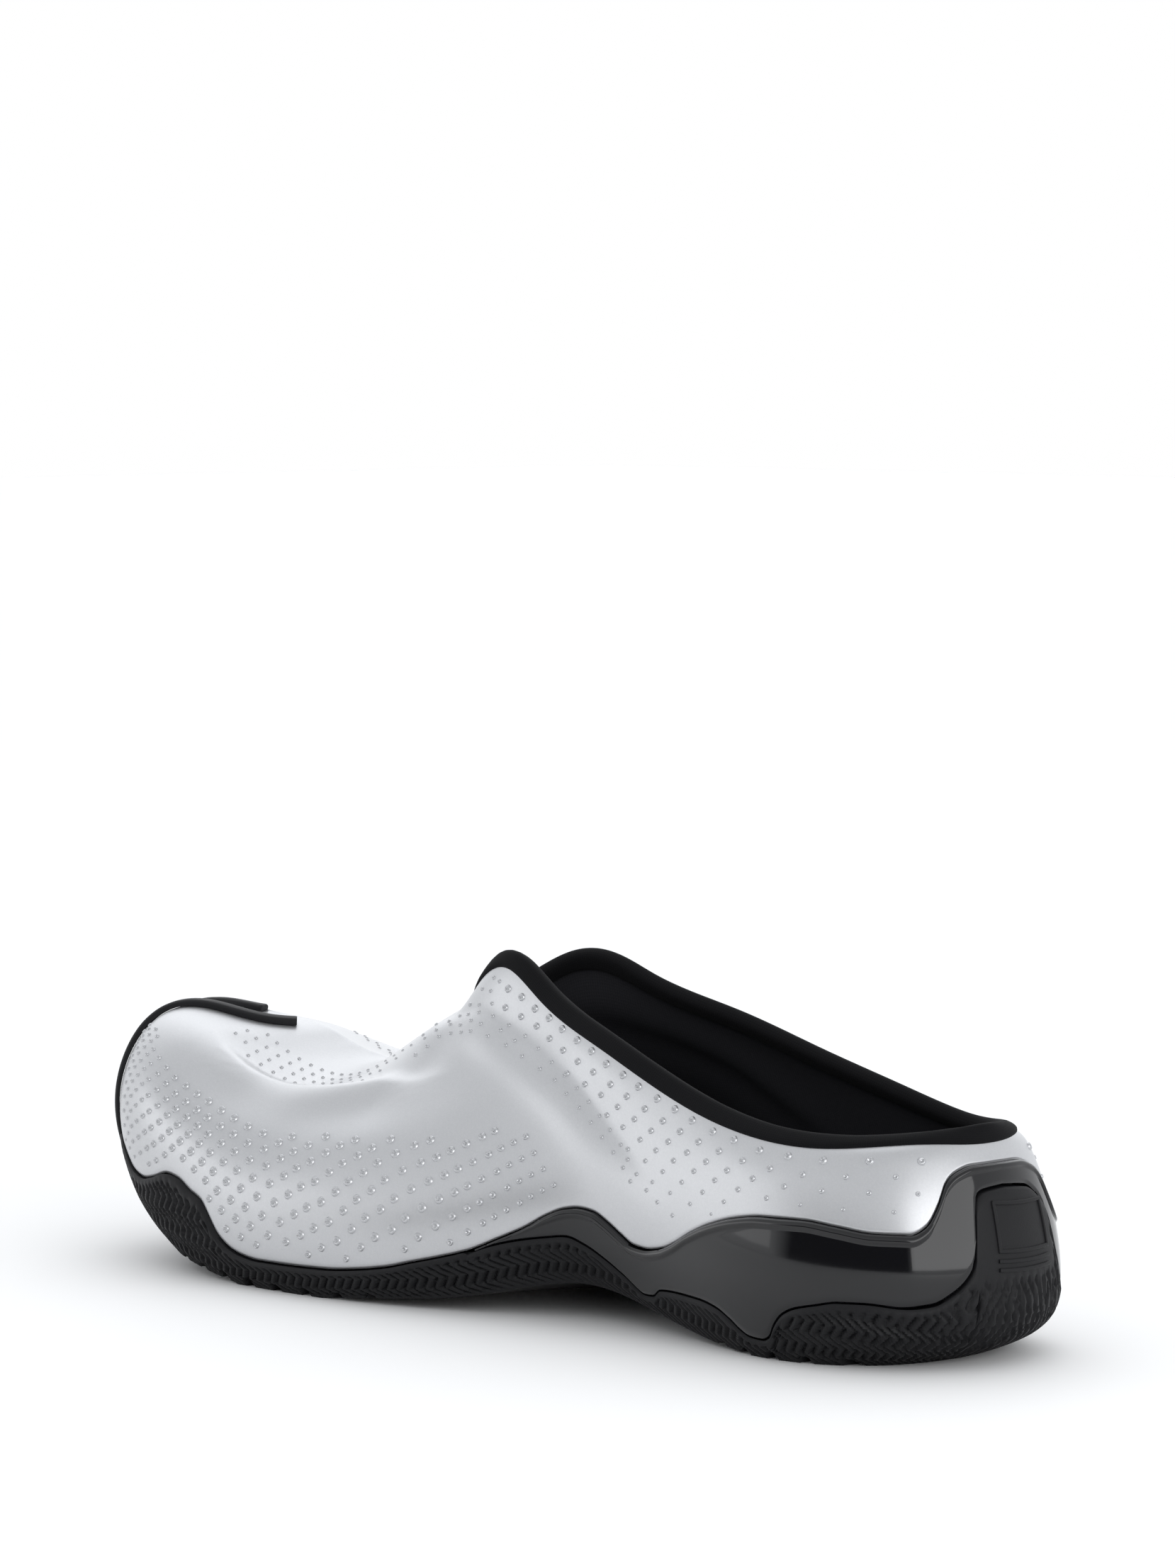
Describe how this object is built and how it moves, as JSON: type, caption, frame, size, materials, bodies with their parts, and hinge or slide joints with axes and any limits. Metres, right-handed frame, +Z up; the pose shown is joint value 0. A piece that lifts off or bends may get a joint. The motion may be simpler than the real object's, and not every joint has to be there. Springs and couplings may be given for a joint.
{
  "type": "slip-on shoe",
  "caption": "Moulded open-heeled slip-on shoe, a right one, with a rigid dotted shell, a gloss frame round the heel, a ribbed rubber sole and a soft collar binding.",
  "frame": {"origin": "centre of the bounding box's bottom, on the floor under the shoe", "axes": "+X from the heel to the toe, +Y to the inner (medial) side of the foot, +Z up"},
  "size_m": [0.3064, 0.1176, 0.0915],
  "materials": {
    "silver_shell": "satin metallic silver-grey, with small raised rings",
    "black_rubber": "matte black",
    "black_gloss": "gloss black",
    "binding_cloth": "matte black foam-backed cloth",
    "footbed_cloth": "matte black woven footbed"
  },
  "bodies": {
    "root": {"upper": "silver_shell", "outsole": "black_rubber", "midsole": "black_gloss", "insole": "footbed_cloth", "collar_binding": "binding_cloth", "toe_rib_1": "black_rubber", "toe_rib_2": "black_rubber"}
  },
  "joints": []
}
